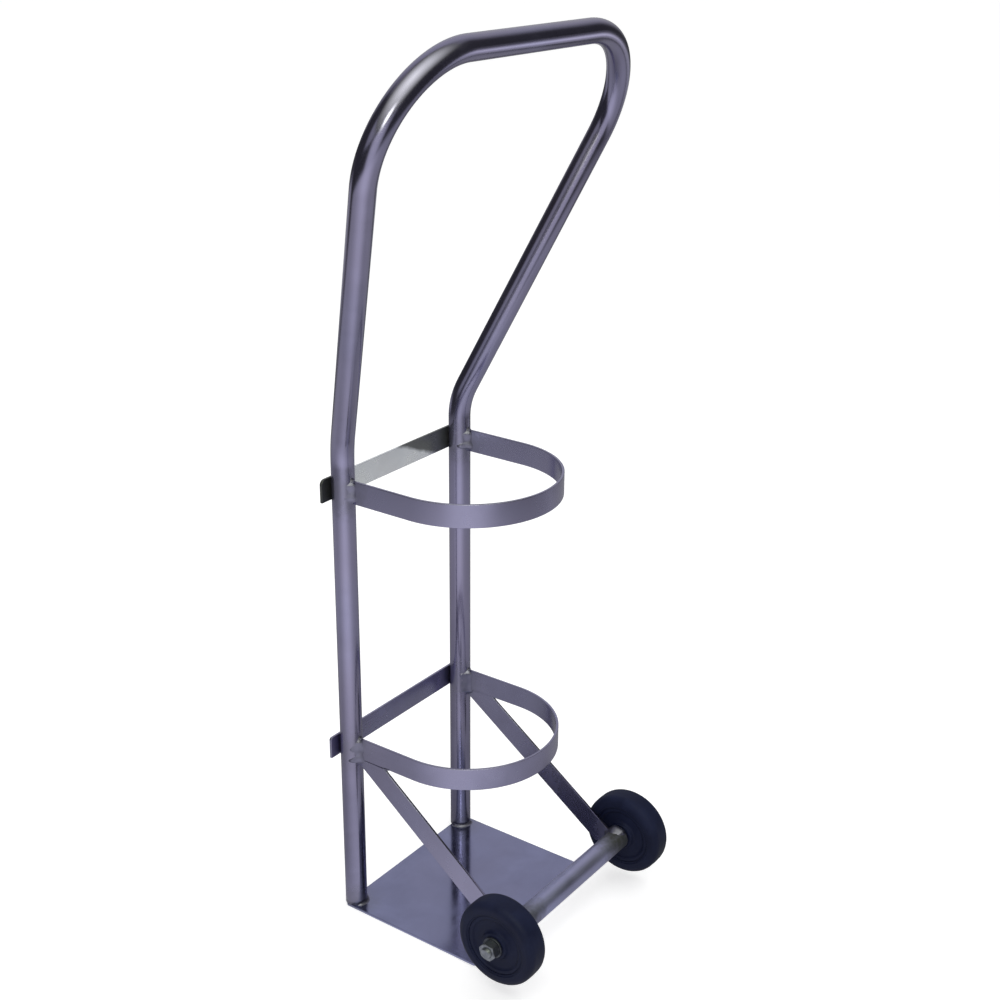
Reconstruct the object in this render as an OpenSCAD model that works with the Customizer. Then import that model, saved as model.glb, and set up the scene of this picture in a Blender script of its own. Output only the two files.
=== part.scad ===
// Gas cylinder trolley: a bent tube frame on a base plate, with two strap hoops and two wheels.
// Millimetres, +Z up. The floor is z = 0, and the origin lies midway between the two uprights.
// The hoops, the wheels and the leaning handle are in front of the uprights, towards -Y.

/* [Frame tube] */
// Outside diameter of the frame tube
tube_d = 25.4; // [20:0.1:32]
// Wall of the frame tube
tube_wall = 1.5; // [1:0.1:3]
// Distance between the axes of the two uprights
upright_spacing = 204; // [180:1:240]
// Height of the knee, where an upright turns into the leaning side of the handle
knee_height = 573; // [568:1:680]
// Bend radius of the knee, on the tube's axis
knee_radius = 85; // [50:1:110]
// Height of the handle bar's axis
handle_height = 990; // [920:1:1100]
// How far the handle bar stands in front of the uprights
handle_reach = 165; // [100:1:220]
// Width between the handle's two corners before they are rounded
handle_width = 464; // [380:1:540]
// Bend radius of the handle's corners, on the tube's axis
corner_radius = 99; // [70:1:120]

/* [Base plate] */
// Depth of the base plate, from its rear edge to its front edge
plate_depth = 191; // [150:1:220]
// How far the plate's rear edge lies behind the axes of the uprights
plate_rear = 6; // [2:0.5:16]
// Thickness of the base plate
plate_t = 3; // [2:0.5:6]
// Radius of the plate's four corners
plate_corner_r = 4; // [1:0.5:12]

/* [Straps] */
// Height of the strap that the hoops and the back strips are cut from
strap_h = 26; // [20:1:36]
// Thickness of that strap
strap_t = 3; // [2:0.5:5]
// Height of the lower hoop's middle
lower_hoop_z = 214; // [170:1:300]
// Height of the upper hoop's middle
upper_hoop_z = 526; // [400:1:530]
// Straight length of a hoop's side, from the upright to the rounded front
hoop_straight = 77; // [40:1:120]
// How far a back strip runs past each upright's axis
strip_overhang = 20; // [14:1:30]
// Radius of the upper back strip's upper corners
upper_strip_corner_r = 6; // [2:0.5:10]
// Radius of the lower back strip's upper corners
lower_strip_corner_r = 3; // [1:0.5:10]

/* [Struts] */
// Width of a strut bar
strut_w = 27; // [20:1:32]
// Thickness of a strut bar
strut_t = 3; // [2:0.5:5]
// How far below the lower hoop's middle a strut's own middle line meets the upright
strut_top_drop = 3.5; // [0:0.5:14]
// How far under the axle's axis a strut's middle line points
strut_foot_drop = 18; // [8:0.5:20]
// How far a strut's foot leans outwards from its top
strut_splay = 5.5; // [0:0.5:8]

/* [Axle] */
// Distance of the axle in front of the uprights
axle_reach = 231; // [200:1:260]
// Height of the axle above the floor
axle_z = 67; // [62:1:90]
// Outside diameter of the axle tube
axle_tube_d = 25.4; // [22:0.1:32]
// Wall of the axle tube
axle_tube_wall = 2; // [1.5:0.1:3]
// How far the axle tube runs past each strut's foot
axle_overhang = 2.5; // [2.5:0.5:20]
// Diameter of the axle rod
rod_d = 12; // [10:0.5:14]
// How far the rod stands out of each nut
rod_tip = 3; // [1:0.5:6]
// Chamfer of the rod's two ends
rod_chamfer = 1; // [0.5:0.5:2]
// Length of the plugs that centre the rod in the axle tube
plug_len = 16; // [10:1:30]
// Outside diameter of the washers
washer_d = 24; // [22:0.5:28]
// Thickness of the washers
washer_t = 2; // [1:0.5:3]
// Nut size across its flats
nut_af = 19; // [17:0.5:22]
// Height of a nut
nut_h = 10; // [7:0.5:14]
// How far the nuts' corners are turned down at both ends
nut_chamfer = 1; // [0.5:0.25:1.5]

/* [Wheels] */
// Diameter of a wheel
wheel_d = 100; // [84:1:116]
// Width of a tyre
tyre_w = 30; // [24:1:36]
// Thickness of a tyre, from its seat to its tread
tyre_depth = 15; // [10:1:18]
// Radius of the tyre's shoulders
shoulder_r = 8; // [3:0.5:9]
// Width of the core's rim under the tyre
rim_w = 26; // [24:1:30]
// Thickness of the core's rim
rim_t = 4; // [3:0.5:6]
// Height of the tongue that keeps the tyre on the rim
tongue_h = 2.5; // [1.5:0.5:4]
// Width of that tongue
tongue_w = 8; // [4:1:12]
// Thickness of the core's web
web_t = 22; // [8:1:23]
// Diameter of the core's boss
boss_d = 30; // [24:1:34]
// How far the boss's edges slope back to the web
boss_slope = 2; // [1:0.5:4]
// Length of the bearing bush, and so of the hub
hub_len = 32; // [32:1:44]
// Outside diameter of the bearing bush
bush_d = 18; // [16:0.5:20]
// How far the bush stands out of the boss at each end
bush_lip = 0.5; // [0.5:0.5:2]

/* [Clearances] */
// Running clearance between a bush and the rod, on the radius
running_gap = 0.05; // [0.02:0.01:0.1]
// Side clearance between a hub and the washers
side_gap = 0.3; // [0.2:0.05:0.6]
// Clearance round pieces that are pressed or bonded together, on the radius
seat_gap = 0.1; // [0.05:0.05:0.2]
// Clearance between a strut's notch and the axle tube, filled by the weld
weld_gap = 0.2; // [0.1:0.05:0.4]

/* [Hidden] */
$fn = 96;

// Colours
steel = [0.62, 0.62, 0.68];
zinc = [0.72, 0.72, 0.74];
bronze = [0.66, 0.52, 0.32];
tyre_black = [0.11, 0.11, 0.15];
core_black = [0.15, 0.15, 0.18];

// A cut runs this far past the solid that it opens
over = 1;
left = -1;
right = 1;

// Frame tube: the side of the handle runs from the knee to the handle's corner.
// A bend is a hair thicker than the straight runs, which reach a little way into it.
tube_r = tube_d / 2;
bend_swell = 0.2;
bend_lap = 2;
half_spacing = upright_spacing / 2;
side_run = [-(handle_width - upright_spacing) / 2, -handle_reach, handle_height - knee_height];
side_len = norm(side_run);
knee_angle = acos(side_run[2] / side_len);
knee_turn = atan2(side_run[1], side_run[0]);
knee_cut = knee_radius * tan(knee_angle / 2);
corner_angle = acos(side_run[0] / side_len);
corner_turn = atan2(-sin(knee_turn), cos(knee_angle) * cos(knee_turn));
corner_cut = corner_radius * tan(corner_angle / 2);
upright_len = knee_height - plate_t - knee_cut;
side_straight = side_len - knee_cut - corner_cut;
bar_straight = handle_width - 2 * corner_cut;

// Base plate: as wide as the frame
plate_w = upright_spacing + tube_d;

// Hoops and back strips
hoop_r_out = half_spacing + strap_t / 2;
hoop_r_in = half_spacing - strap_t / 2;
hoop_mid = tube_r + hoop_straight;
strip_len = upright_spacing + 2 * strip_overhang;

// Struts, seen from the side: distance from the uprights' fronts, then height.
// A foot ends under the axle tube, level with its lowest line.
strut_top = [0, lower_hoop_z - strut_top_drop];
strut_foot = [axle_reach - tube_r, axle_z - strut_foot_drop];
strut_run = strut_foot - strut_top;
strut_slope = atan2(strut_run[1], strut_run[0]);
strut_yaw = atan2(strut_splay, strut_foot[0]);
strut_reach = strut_foot[0] - axle_tube_d / 4;
strut_floor = axle_z - axle_tube_d / 2;
strut_ceiling = lower_hoop_z - strap_h / 2;

// Along the axle, from the middle outwards
axle_tube_end = half_spacing + strut_splay + axle_overhang;
plug_r = axle_tube_d / 2 - axle_tube_wall - seat_gap;
rod_r = rod_d / 2;
hub_start = axle_tube_end + washer_t + side_gap;
wheel_mid = hub_start + hub_len / 2;
outer_washer_start = hub_start + hub_len + side_gap;
nut_start = outer_washer_start + washer_t;
rod_end = nut_start + nut_h + rod_tip;

// Wheel
wheel_r = wheel_d / 2;
seat_r = wheel_r - tyre_depth;
rim_r_in = seat_r - rim_t;
boss_r = boss_d / 2;
boss_len = hub_len - 2 * bush_lip;
bush_r = bush_d / 2;
nut_corner_r = nut_af / 2 / cos(30);

// One bend of a tube of radius r: starts at the origin along +Z and turns towards +X
module tube_bend(r, bend_radius, angle) {
    translate([bend_radius, 0, 0])
        rotate([90, 0, 180])
            rotate_extrude(angle = angle)
                translate([bend_radius, 0])
                    circle(r = r);
}

// A tube of radius r as a bending machine makes it.
// Each step is a straight feed, a turn of the tube, a bend radius and a bend angle.
module bent_tube(r, steps, i = 0) {
    feed = steps[i][0];
    turn = steps[i][1];
    radius = steps[i][2];
    angle = steps[i][3];
    lead_in = i > 0 ? bend_lap : 0;
    lead_out = angle > 0 ? bend_lap : 0;
    translate([0, 0, -lead_in])
        cylinder(r = r, h = lead_in + feed + lead_out);
    if (angle > 0)
        translate([0, 0, feed])
            rotate([0, 0, turn]) {
                tube_bend(r + bend_swell, radius, angle);
                translate([radius * (1 - cos(angle)), 0, radius * sin(angle)])
                    rotate([0, angle, 0])
                        bent_tube(r, steps, i + 1);
            }
}

// The frame's steps, with both feet lengthened by extra
function frame_steps(extra) = [
    [upright_len + extra, knee_turn, knee_radius, knee_angle],
    [side_straight, corner_turn, corner_radius, corner_angle],
    [bar_straight, 0, corner_radius, corner_angle],
    [side_straight, -corner_turn, knee_radius, knee_angle],
    [upright_len + extra, 0, 0, 0]
];

module frame_tube() {
    color(steel)
        translate([-half_spacing, 0, plate_t])
            difference() {
                bent_tube(tube_r, frame_steps(0));
                translate([0, 0, -over])
                    bent_tube(tube_r - tube_wall, frame_steps(over));
            }
}

module base_plate() {
    inset_w = plate_w - 2 * plate_corner_r;
    inset_depth = plate_depth - 2 * plate_corner_r;
    color(steel)
        translate([-plate_w / 2, plate_rear - plate_depth, 0])
            linear_extrude(plate_t) {
                translate([plate_corner_r, 0])
                    square([inset_w, plate_depth]);
                translate([0, plate_corner_r])
                    square([plate_w, inset_depth]);
                for (x = [plate_corner_r, plate_corner_r + inset_w])
                    for (y = [plate_corner_r, plate_corner_r + inset_depth])
                        translate([x, y])
                            circle(r = plate_corner_r);
            }
}

// Outline of radius r round the inside or the outside of a hoop, open at the uprights
module hoop_outline(r, rear) {
    translate([0, -hoop_mid])
        intersection() {
            circle(r = r);
            translate([-r, -r])
                square([2 * r, r]);
        }
    translate([-r, -hoop_mid])
        square([2 * r, hoop_straight + rear]);
}

module hoop(z) {
    color(steel)
        translate([0, 0, z - strap_h / 2])
            linear_extrude(strap_h)
                difference() {
                    hoop_outline(hoop_r_out, 0);
                    hoop_outline(hoop_r_in, over);
                }
}

module upper_hoop() {
    hoop(upper_hoop_z);
}

module lower_hoop() {
    hoop(lower_hoop_z);
}

// A strip across the backs of the uprights, its upper corners rounded by corner_r
module back_strip(z, corner_r) {
    color(steel)
        translate([-strip_len / 2, tube_r + strap_t, z - strap_h / 2])
            rotate([90, 0, 0])
                linear_extrude(strap_t) {
                    square([strip_len, strap_h - corner_r]);
                    translate([corner_r, 0])
                        square([strip_len - 2 * corner_r, strap_h]);
                    for (x = [corner_r, strip_len - corner_r])
                        translate([x, strap_h - corner_r])
                            circle(r = corner_r);
                }
}

module upper_back_strip() {
    back_strip(upper_hoop_z, upper_strip_corner_r);
}

module lower_back_strip() {
    back_strip(lower_hoop_z, lower_strip_corner_r);
}

// A strut fills the corner under the lower hoop, and its foot is notched round the axle tube
module strut(side) {
    color(steel)
        difference() {
            translate([side * half_spacing, -tube_r, 0])
                rotate([0, 0, side * strut_yaw])
                    rotate([90, 0, -90])
                        linear_extrude(strut_t, center = true)
                            intersection() {
                                translate(strut_top)
                                    rotate(strut_slope)
                                        translate([-strut_w, -strut_w / 2])
                                            square([norm(strut_run) + 2 * strut_w, strut_w]);
                                translate([0, strut_floor])
                                    square([strut_reach, strut_ceiling - strut_floor]);
                            }
            on_axle(right, -axle_tube_end - over)
                cylinder(r = axle_tube_d / 2 + weld_gap, h = 2 * (axle_tube_end + over));
        }
}

module left_strut() {
    strut(left);
}

module right_strut() {
    strut(right);
}

// Places what is drawn along +Z on the axle, from a distance out on one side
module on_axle(side, out) {
    translate([side * out, -axle_reach, axle_z])
        rotate([0, side * 90, 0])
            children();
}

module axle_tube() {
    color(steel)
        on_axle(right, -axle_tube_end)
            difference() {
                cylinder(d = axle_tube_d, h = 2 * axle_tube_end);
                translate([0, 0, -over])
                    cylinder(r = axle_tube_d / 2 - axle_tube_wall, h = 2 * (axle_tube_end + over));
            }
}

// A round piece with a bore for the axle rod
module bored_disc(r, h, bore_r) {
    difference() {
        cylinder(r = r, h = h);
        translate([0, 0, -over])
            cylinder(r = bore_r, h = h + 2 * over);
    }
}

module axle_plug(side) {
    color(zinc)
        on_axle(side, axle_tube_end - plug_len)
            bored_disc(plug_r, plug_len, rod_r + seat_gap);
}

module left_axle_plug() {
    axle_plug(left);
}

module right_axle_plug() {
    axle_plug(right);
}

module axle_rod() {
    color(zinc)
        on_axle(right, -rod_end)
            rotate_extrude()
                polygon([
                    [0, 0],
                    [rod_r - rod_chamfer, 0],
                    [rod_r, rod_chamfer],
                    [rod_r, 2 * rod_end - rod_chamfer],
                    [rod_r - rod_chamfer, 2 * rod_end],
                    [0, 2 * rod_end]
                ]);
}

module washer(side, out) {
    color(zinc)
        on_axle(side, out)
            bored_disc(washer_d / 2, washer_t, rod_r + seat_gap);
}

module left_inner_washer() {
    washer(left, axle_tube_end);
}

module right_inner_washer() {
    washer(right, axle_tube_end);
}

module left_outer_washer() {
    washer(left, outer_washer_start);
}

module right_outer_washer() {
    washer(right, outer_washer_start);
}

// A hexagon nut, its corners turned down to a cone at both ends
module axle_nut(side) {
    color(zinc)
        on_axle(side, nut_start)
            difference() {
                intersection() {
                    cylinder(r = nut_corner_r, h = nut_h, $fn = 6);
                    rotate_extrude()
                        polygon([
                            [0, 0],
                            [nut_corner_r - nut_chamfer, 0],
                            [nut_corner_r, nut_chamfer],
                            [nut_corner_r, nut_h - nut_chamfer],
                            [nut_corner_r - nut_chamfer, nut_h],
                            [0, nut_h]
                        ]);
                }
                translate([0, 0, -over])
                    cylinder(r = rod_r + seat_gap, h = nut_h + 2 * over);
            }
}

module left_axle_nut() {
    axle_nut(left);
}

module right_axle_nut() {
    axle_nut(right);
}

// A solid tyre: rounded shoulders outside, a groove inside for the rim's tongue
module tyre(side) {
    tread_w = tyre_w - 2 * shoulder_r;
    groove_w = tongue_w + 2 * seat_gap;
    inner_r = seat_r + seat_gap;
    color(tyre_black)
        on_axle(side, wheel_mid)
            rotate_extrude()
                difference() {
                    union() {
                        translate([inner_r, -tyre_w / 2])
                            square([wheel_r - shoulder_r - inner_r, tyre_w]);
                        translate([inner_r, -tread_w / 2])
                            square([wheel_r - inner_r, tread_w]);
                        for (end = [-1, 1])
                            translate([wheel_r - shoulder_r, end * tread_w / 2])
                                intersection() {
                                    circle(r = shoulder_r);
                                    translate([0, -shoulder_r])
                                        square([shoulder_r, 2 * shoulder_r]);
                                }
                    }
                    translate([inner_r - over, -groove_w / 2])
                        square([tongue_h + over, groove_w]);
                }
}

module left_tyre() {
    tyre(left);
}

module right_tyre() {
    tyre(right);
}

// Half of the core's section on one side of its middle, as radius and distance along the axle
core_half = [
    [seat_r + tongue_h, tongue_w / 2],
    [seat_r, tongue_w / 2],
    [seat_r, rim_w / 2],
    [rim_r_in, rim_w / 2],
    [rim_r_in - boss_slope, web_t / 2],
    [boss_r + boss_slope, web_t / 2],
    [boss_r, boss_len / 2],
    [bush_r + seat_gap, boss_len / 2]
];
core_section = concat(core_half, [for (i = [len(core_half) - 1:-1:0]) [core_half[i][0], -core_half[i][1]]]);

// A dished core: a boss for the bush, a web, and a rim with a tongue for the tyre
module wheel_core(side) {
    color(core_black)
        on_axle(side, wheel_mid)
            rotate_extrude()
                polygon(core_section);
}

module left_wheel_core() {
    wheel_core(left);
}

module right_wheel_core() {
    wheel_core(right);
}

module wheel_bush(side) {
    color(bronze)
        on_axle(side, hub_start)
            bored_disc(bush_r, hub_len, rod_r + running_gap);
}

module left_wheel_bush() {
    wheel_bush(left);
}

module right_wheel_bush() {
    wheel_bush(right);
}

frame_tube();
base_plate();
upper_hoop();
lower_hoop();
upper_back_strip();
lower_back_strip();
left_strut();
right_strut();
axle_tube();
left_axle_plug();
right_axle_plug();
axle_rod();
left_inner_washer();
right_inner_washer();
left_outer_washer();
right_outer_washer();
left_axle_nut();
right_axle_nut();
left_tyre();
right_tyre();
left_wheel_core();
right_wheel_core();
left_wheel_bush();
right_wheel_bush();
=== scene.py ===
import math
import random

import bmesh
import bpy
from mathutils import Matrix, Vector


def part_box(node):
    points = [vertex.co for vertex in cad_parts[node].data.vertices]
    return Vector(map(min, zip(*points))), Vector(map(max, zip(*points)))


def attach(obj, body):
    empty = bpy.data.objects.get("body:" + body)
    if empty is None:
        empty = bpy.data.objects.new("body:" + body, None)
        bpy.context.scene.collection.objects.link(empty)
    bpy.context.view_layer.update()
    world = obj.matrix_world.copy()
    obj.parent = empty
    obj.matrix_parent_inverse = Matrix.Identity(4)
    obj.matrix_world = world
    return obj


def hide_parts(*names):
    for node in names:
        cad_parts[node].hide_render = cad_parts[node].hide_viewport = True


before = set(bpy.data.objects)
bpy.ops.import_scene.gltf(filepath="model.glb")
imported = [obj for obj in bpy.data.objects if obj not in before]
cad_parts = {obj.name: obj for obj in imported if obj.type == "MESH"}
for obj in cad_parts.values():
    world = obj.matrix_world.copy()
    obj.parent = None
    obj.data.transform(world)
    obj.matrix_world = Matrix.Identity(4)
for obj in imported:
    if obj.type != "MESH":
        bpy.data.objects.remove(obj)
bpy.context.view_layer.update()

scene = bpy.context.scene
MM = 0.001
X, Y, Z = Vector((1, 0, 0)), Vector((0, 1, 0)), Vector((0, 0, 1))
SIDES = (("left", -1), ("right", 1))

# Sizes that the frame gives, in metres
plate_lo, plate_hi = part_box("base_plate")
tube_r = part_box("lower_back_strip")[0].y
half_spacing = plate_hi.x - tube_r
plate_top = plate_hi.z
lower_lo, lower_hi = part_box("lower_hoop")
upper_lo, upper_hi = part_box("upper_hoop")
strap_t = 2 * (lower_hi.x - half_spacing)
strap_h = lower_hi.z - lower_lo.z
hoop_mid = -lower_lo.y - lower_hi.x
lower_z = (lower_lo.z + lower_hi.z) / 2
upper_z = (upper_lo.z + upper_hi.z) / 2
axle_lo, axle_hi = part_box("axle_tube")
axle = Vector((0, (axle_lo.y + axle_hi.y) / 2, (axle_lo.z + axle_hi.z) / 2))
axle_tube_r = (axle_hi.z - axle_lo.z) / 2
axle_tube_end = axle_hi.x
rod_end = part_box("axle_rod")[1].x
wheel_lo, wheel_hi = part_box("right_tyre")
wheel_r = (wheel_hi.z - wheel_lo.z) / 2
wheel_mid = (wheel_lo.x + wheel_hi.x) / 2

# Sizes of the bent tube, on its axis
KNEE_HEIGHT = 573 * MM
KNEE_RADIUS = 85 * MM
HANDLE_HEIGHT = 990 * MM
HANDLE_REACH = 165 * MM
HANDLE_WIDTH = 464 * MM
CORNER_RADIUS = 99 * MM

# Sizes of the small forms
EDGE_R = 0.5 * MM
UPPER_STRIP_CORNER_R = 6 * MM
LOWER_STRIP_CORNER_R = 3 * MM
PLATE_CORNER_R = 4 * MM
AXLE_TUBE_WALL = 2 * MM
STRUT_W = 27 * MM
STRUT_TOP_DROP = 3.5 * MM
STRUT_FOOT_DROP = 18 * MM
STRUT_SPLAY = 5.5 * MM
WELD_GAP = 0.2 * MM
ROD_R = 6 * MM
THREAD_PITCH = 1.75 * MM
THREAD_DEPTH = 0.9 * MM
THREAD_LEN = 17 * MM
THREAD_GAP = 0.05 * MM
THREAD_STEEP = 1.3
ROD_TIP = 1.2 * MM
NUT_AF = 19 * MM
NUT_FACE_R = 9.3 * MM
NUT_CONE = math.tan(math.radians(30))
NUT_CORNER = 0.985
NUT_BORE_CHAMFER = 0.4 * MM
NUT_SHARP = math.radians(20)
WASHER_EDGE_R = 0.3 * MM
WASHER_HOLD = 0.1 * MM
SEAT_GAP = 0.1 * MM

# How finely round forms are drawn
TUBE_SIDES = 64
WHEEL_SIDES = 128
STRAIGHT_STEP = 8 * MM
ARC_STEP = 3 * MM
HOOP_SIDE_STEPS = 12
HOOP_TURN_STEPS = 72
NOTCH_STEPS = 20
THREAD_SIDES = 48
THREAD_STEPS = 10
NUT_FLAT_STEPS = 14


# Shapes
def finish_mesh(name, bm, material, body, node=None):
    """Turns a bmesh into a piece that rides on a body."""
    bmesh.ops.recalc_face_normals(bm, faces=bm.faces)
    mesh = bpy.data.meshes.new(name)
    bm.to_mesh(mesh)
    bm.free()
    piece = bpy.data.objects.new(name, mesh)
    scene.collection.objects.link(piece)
    mesh.materials.append(material)
    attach(piece, body)
    if node:
        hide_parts(node)
    return piece


def new_bmesh():
    """A bmesh whose points keep their place along and across the piece, which the streaks follow."""
    bm = bmesh.new()
    return bm, bm.verts.layers.float_vector.new("run")


def rectangle(u0, v0, u1, v1):
    return [(u0, v0), (u1, v0), (u1, v1), (u0, v1)]


def round_corner(points, i, radius):
    """The round that fits in a corner: the ways to both neighbours, how far along them the round starts,
    its centre, and half the angle between them."""
    here = Vector(points[i])
    before = (Vector(points[i - 1]) - here).normalized()
    after = (Vector(points[(i + 1) % len(points)]) - here).normalized()
    half = before.angle(after) / 2
    cut = radius / math.tan(half)
    centre = here + (before + after).normalized() * radius / math.sin(half)
    return before, after, cut, centre, half


def fillet(points, radii, steps=4, hold=0.25 * MM):
    """A 2-D outline with each corner rounded to its radius. A point held close
    to each end of a round keeps the flat beside it flat."""
    out = []
    for i, radius in enumerate(radii):
        here = Vector(points[i])
        if radius == 0:
            out.append(here)
            continue
        before, after, cut, centre, _ = round_corner(points, i, radius)
        start = here + before * cut - centre
        end = here + after * cut - centre
        sweep_angle = start.angle_signed(end)
        out.append(here + before * (cut + hold))
        for k in range(steps + 1):
            turn = -sweep_angle * k / steps
            c, s = math.cos(turn), math.sin(turn)
            out.append(centre + Vector((c * start.x - s * start.y, s * start.x + c * start.y)))
        out.append(here + after * (cut + hold))
    return out


def bend_path(points, radii):
    """Points along straight runs joined by round bends, evenly spaced."""
    path = [Vector(points[0])]

    def run_to(target):
        start = path[-1].copy()
        count = max(1, round((target - start).length / STRAIGHT_STEP))
        path.extend(start.lerp(target, k / count) for k in range(1, count + 1))

    for i, radius in enumerate(radii, 1):
        here = Vector(points[i])
        before, after, cut, centre, half = round_corner(points, i, radius)
        run_to(here + before * cut)
        start = path[-1] - centre
        axis = start.cross(here + after * cut - centre).normalized()
        angle = math.pi - 2 * half
        count = max(2, round(angle * radius / ARC_STEP))
        path.extend(
            centre + Matrix.Rotation(angle * k / count, 3, axis) @ start for k in range(1, count + 1)
        )
    run_to(Vector(points[-1]))
    return path


def tangents(path):
    last = len(path) - 1
    return [(path[min(i + 1, last)] - path[max(i - 1, 0)]).normalized() for i in range(len(path))]


def skin(bm, rings, loop=False):
    """Joins rings of points with smooth faces. In a loop the last ring meets the first, and otherwise
    both ends are closed."""
    count = len(rings[0])
    pairs = list(zip(rings, rings[1:]))
    if loop:
        pairs.append((rings[-1], rings[0]))
    for one, two in pairs:
        for k in range(count):
            after = (k + 1) % count
            bm.faces.new((one[k], one[after], two[after], two[k])).smooth = True
    if not loop:
        for ring in (rings[0], rings[-1]):
            bm.faces.new(ring)


def sweep(bm, run, path, section, side, scales=None):
    """Carries a closed 2-D section along a path. side is the section's first axis at the start."""
    rings = []
    along = 0.0
    ways = tangents(path)
    side = (side - ways[0] * side.dot(ways[0])).normalized()
    for i, (here, way) in enumerate(zip(path, ways)):
        if i:
            along += (here - path[i - 1]).length
            turn = ways[i - 1].rotation_difference(way)
            side = turn @ side
        up = way.cross(side)
        scale = scales[i] if scales else 1.0
        ring = []
        for u, v in section:
            vert = bm.verts.new(here + (side * u + up * v) * scale)
            vert[run] = (along, u, v)
            ring.append(vert)
        rings.append(ring)
    skin(bm, rings)


def circle(radius, sides):
    return [
        (radius * math.cos(2 * math.pi * k / sides), radius * math.sin(2 * math.pi * k / sides))
        for k in range(sides)
    ]


def slab(bm, run, outline, thickness, place, edge=EDGE_R, steps=3):
    """A flat plate with rounded edges. place takes (u, v, w) to the frame; w runs through the plate."""
    count = len(outline)
    area = sum(
        outline[k].x * outline[(k + 1) % count].y - outline[(k + 1) % count].x * outline[k].y
        for k in range(count)
    )
    hand = 1 if area > 0 else -1
    inward = []
    for k in range(count):
        before = (outline[k] - outline[k - 1]).normalized()
        after = (outline[(k + 1) % count] - outline[k]).normalized()
        n1 = Vector((-before.y, before.x)) * hand
        n2 = Vector((-after.y, after.x)) * hand
        miter = n1 + n2
        inward.append(miter / max(0.2, 1 + n1.dot(n2)))
    levels = []
    for k in range(steps + 1):
        t = math.pi / 2 * k / steps
        levels.append((edge * (1 - math.sin(t)), edge * (1 - math.cos(t))))
    levels += [(inset, thickness - w) for inset, w in reversed(levels)]
    rings = []
    for inset, w in levels:
        ring = []
        for point, way in zip(outline, inward):
            p = point + way * inset
            vert = bm.verts.new(place(p.x, p.y, w))
            vert[run] = (p.x, p.y, w)
            ring.append(vert)
        rings.append(ring)
    skin(bm, rings)


def lathe(bm, run, profile, side, sides):
    """Turns a profile of (distance out along the axle, radius) round the axle."""
    rings = []
    for out, radius in profile:
        ring = []
        for k in range(sides):
            t = 2 * math.pi * k / sides
            y, z = radius * math.cos(t), radius * math.sin(t)
            vert = bm.verts.new((side * out, axle.y + y, axle.z + z))
            vert[run] = (out, y, z)
            ring.append(vert)
        rings.append(ring)
    skin(bm, rings, loop=True)


# Node materials
NOISE_LO, NOISE_HI = 0.3, 0.7


class Nodes:
    """A short way to write a node tree."""

    def __init__(self, name):
        self.material = bpy.data.materials.new(name)
        self.material.use_nodes = True
        self.tree = self.material.node_tree
        self.shader = self.tree.nodes["Principled BSDF"]

    def add(self, kind, inputs=None, **settings):
        node = self.tree.nodes.new(kind)
        for key, value in settings.items():
            setattr(node, key, value)
        for key, value in (inputs or {}).items():
            socket = node.inputs[key]
            if isinstance(value, bpy.types.NodeSocket):
                self.tree.links.new(value, socket)
            else:
                socket.default_value = value
        return node

    def link(self, value, name):
        self.tree.links.new(value, self.shader.inputs[name])

    def set(self, **values):
        for name, value in values.items():
            self.shader.inputs[name.replace("_", " ")].default_value = value

    def math(self, operation, a, b=0.0):
        return self.add("ShaderNodeMath", {0: a, 1: b}, operation=operation).outputs[0]

    def vector(self, operation, a, b=(0, 0, 0)):
        return self.add("ShaderNodeVectorMath", {0: a, 1: b}, operation=operation)

    def noise(self, where, scale, detail=3.0, rough=0.5, distortion=0.0):
        sockets = {
            "Vector": where, "Scale": scale, "Detail": detail, "Roughness": rough, "Distortion": distortion,
        }
        return self.add("ShaderNodeTexNoise", sockets).outputs["Fac"]

    def span(self, value, lo, hi, to_lo=0.0, to_hi=1.0):
        sockets = {"Value": value, "From Min": lo, "From Max": hi, "To Min": to_lo, "To Max": to_hi}
        return self.add("ShaderNodeMapRange", sockets).outputs["Result"]

    def spread(self, noise, to_lo=0.0, to_hi=1.0):
        """Stretches a noise, which mostly stays between two values, over a range."""
        return self.span(noise, NOISE_LO, NOISE_HI, to_lo, to_hi)

    def mix(self, factor, a, b):
        node = self.add("ShaderNodeMix", data_type="RGBA")
        for socket, value in zip((node.inputs[0], node.inputs[6], node.inputs[7]), (factor, a, b)):
            if isinstance(value, bpy.types.NodeSocket):
                self.tree.links.new(value, socket)
            else:
                socket.default_value = value
        return node.outputs[2]

    def bump(self, height, distance, strength):
        sockets = {"Height": height, "Distance": distance, "Strength": strength}
        self.link(self.add("ShaderNodeBump", sockets).outputs["Normal"], "Normal")


def colour(r, g, b):
    return (r, g, b, 1.0)


# Steel: the streaks, the heat tint at the welds, and the dark ends and painted dark reflection on the upper
# strip
STREAK_ALONG = 9.0
HEAT_FULL = 13 * MM
HEAT_RAGGED = 5 * MM
HEAT_REACH = 36 * MM
HEAT_STAIN = (0.08, 0.42)
BURNT_TO = 0.55
# Dark ends of the upper strip, and the painted dark reflection on its +X side: where its slanted edge starts
# and how far it runs, how ragged it is and how it fades
DARK_STEEL = (0.10, 0.105, 0.105)
PAINTED_REFLECTION_FROM = 6 * MM
PAINTED_REFLECTION_SLOPE = 58 * MM
PAINTED_REFLECTION_RAGGED = 8 * MM
PAINTED_REFLECTION_FADE = 12 * MM
END_FADE = 4 * MM


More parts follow.
